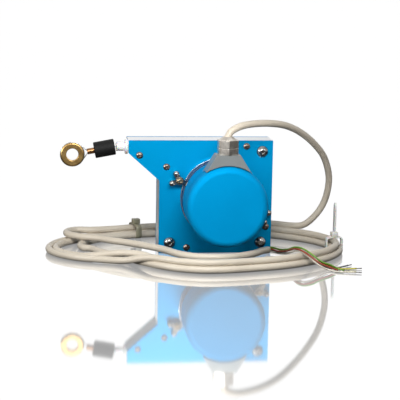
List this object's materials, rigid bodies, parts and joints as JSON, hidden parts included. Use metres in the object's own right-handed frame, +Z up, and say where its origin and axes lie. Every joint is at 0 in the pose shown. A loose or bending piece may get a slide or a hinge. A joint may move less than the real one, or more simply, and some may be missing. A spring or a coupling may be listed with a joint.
{
  "type": "draw wire encoder",
  "caption": "Draw wire position sensor: spring-driven cable drum in a flat blue housing, rotary encoder on the front, coiled signal cable.",
  "frame": {"origin": "centre of the housing's underside, midway between the front and back plates", "axes": "+X right, away from the wire's exit; +Y from the encoder through to the back plate; +Z up"},
  "size_m": [0.2259, 0.1511, 0.1034],
  "materials": {
    "plate_blue": "blue anodised satin",
    "frame_alu": "satin extruded",
    "turned_alu": "fine turned",
    "body_alu": "bead blasted",
    "cap_blue": "blue anodised satin",
    "screw_steel": "satin",
    "small_screw": "satin",
    "dark_screw": "black oxide",
    "post_alu": "turned",
    "bush_steel": "zinc plated",
    "bearing_steel": "ground",
    "arbor_alu": "turned",
    "nozzle_plastic": "white acetal",
    "felt": "wool felt",
    "guide_plastic": "ivory acetal",
    "ceramic": "glazed ceramic",
    "drum_alu": "turned",
    "shaft_steel": "ground",
    "spring_steel": "blue tempered",
    "rope_steel": "stranded",
    "sleeve_rubber": "smooth",
    "copper": "drawn copper",
    "brass_ring": "satin",
    "disc_brass": "turned",
    "disc_glass": "clear",
    "block_black": "moulded",
    "board_green": "solder mask",
    "gasket_rubber": "smooth",
    "clamp_steel": "zinc plated",
    "clamp_screw": "yellow zinc",
    "gland_nickel": "nickel plated",
    "gland_rubber": "smooth",
    "cable_jacket": "grey-beige PVC",
    "tie_olive": "nylon",
    "tie_white": "nylon",
    "core_green": "PVC",
    "core_brown": "PVC",
    "core_white": "PVC",
    "core_grey": "PVC",
    "core_yellow": "PVC"
  },
  "bodies": {
    "housing": {"front_plate": "plate_blue", "back_plate": "plate_blue", "housing_frame": "frame_alu", "corner_posts": "post_alu", "corner_screws": "screw_steel", "plate_screws": "small_screw", "mount_bushes": "bush_steel", "spring_arbor": "arbor_alu", "arbor_screws": "screw_steel", "drum_bearings": "bearing_steel", "inlet_nozzle": "nozzle_plastic", "wiper_felt": "felt", "wire_guide": "guide_plastic", "guide_eyelet": "ceramic", "encoder_flange": "turned_alu", "encoder_bearings": "bearing_steel", "led_block": "block_black", "sensor_block": "block_black", "encoder_board": "board_green", "board_chips": "block_black", "board_screws": "screw_steel", "encoder_body": "body_alu", "cap_gasket": "gasket_rubber", "encoder_cap": "cap_blue", "servo_clamps": "clamp_steel", "clamp_screws": "clamp_screw", "gland_body": "gland_nickel", "gland_nut": "gland_nickel", "gland_seal": "gland_rubber", "cable_lead": "cable_jacket", "cable_coil": "cable_jacket", "cable_tail": "cable_jacket", "cable_tie_left": "tie_olive", "cable_tie_right": "tie_white", "core_green": "core_green", "core_brown": "core_brown", "core_white": "core_white", "core_grey": "core_grey", "core_yellow": "core_yellow"},
    "drum": {"drum": "drum_alu", "drum_shaft": "shaft_steel", "shaft_grub_screws": "dark_screw", "power_spring": "spring_steel", "wire_winding": "rope_steel", "encoder_shaft": "shaft_steel", "disc_hub": "disc_brass", "code_disc": "disc_glass"},
    "wire_end": {"wire_rope": "rope_steel", "buffer_sleeve": "sleeve_rubber", "crimp_ferrule": "copper", "rope_loop": "rope_steel", "eye_ring": "brass_ring"}
  },
  "joints": [
    {"name": "drum_spin", "type": "hinge", "parent": "housing", "child": "drum", "pos_m": [0.003, 0, 0.0425], "axis": [0, -1, 0], "range_deg": [0, 3130], "stiffness_Nm_per_rad": 0.004, "springref_deg": -1718.87, "deforming": ["power_spring"]},
    {"name": "wire_draw", "type": "slide", "parent": "housing", "child": "wire_end", "axis": [-1, 0, 0], "range_m": [0, 2], "deforming": ["wire_rope"]}
  ],
  "couplings": [
    {"joint": "wire_draw", "follows": "drum_spin", "m_per_rad": 0.0366}
  ]
}
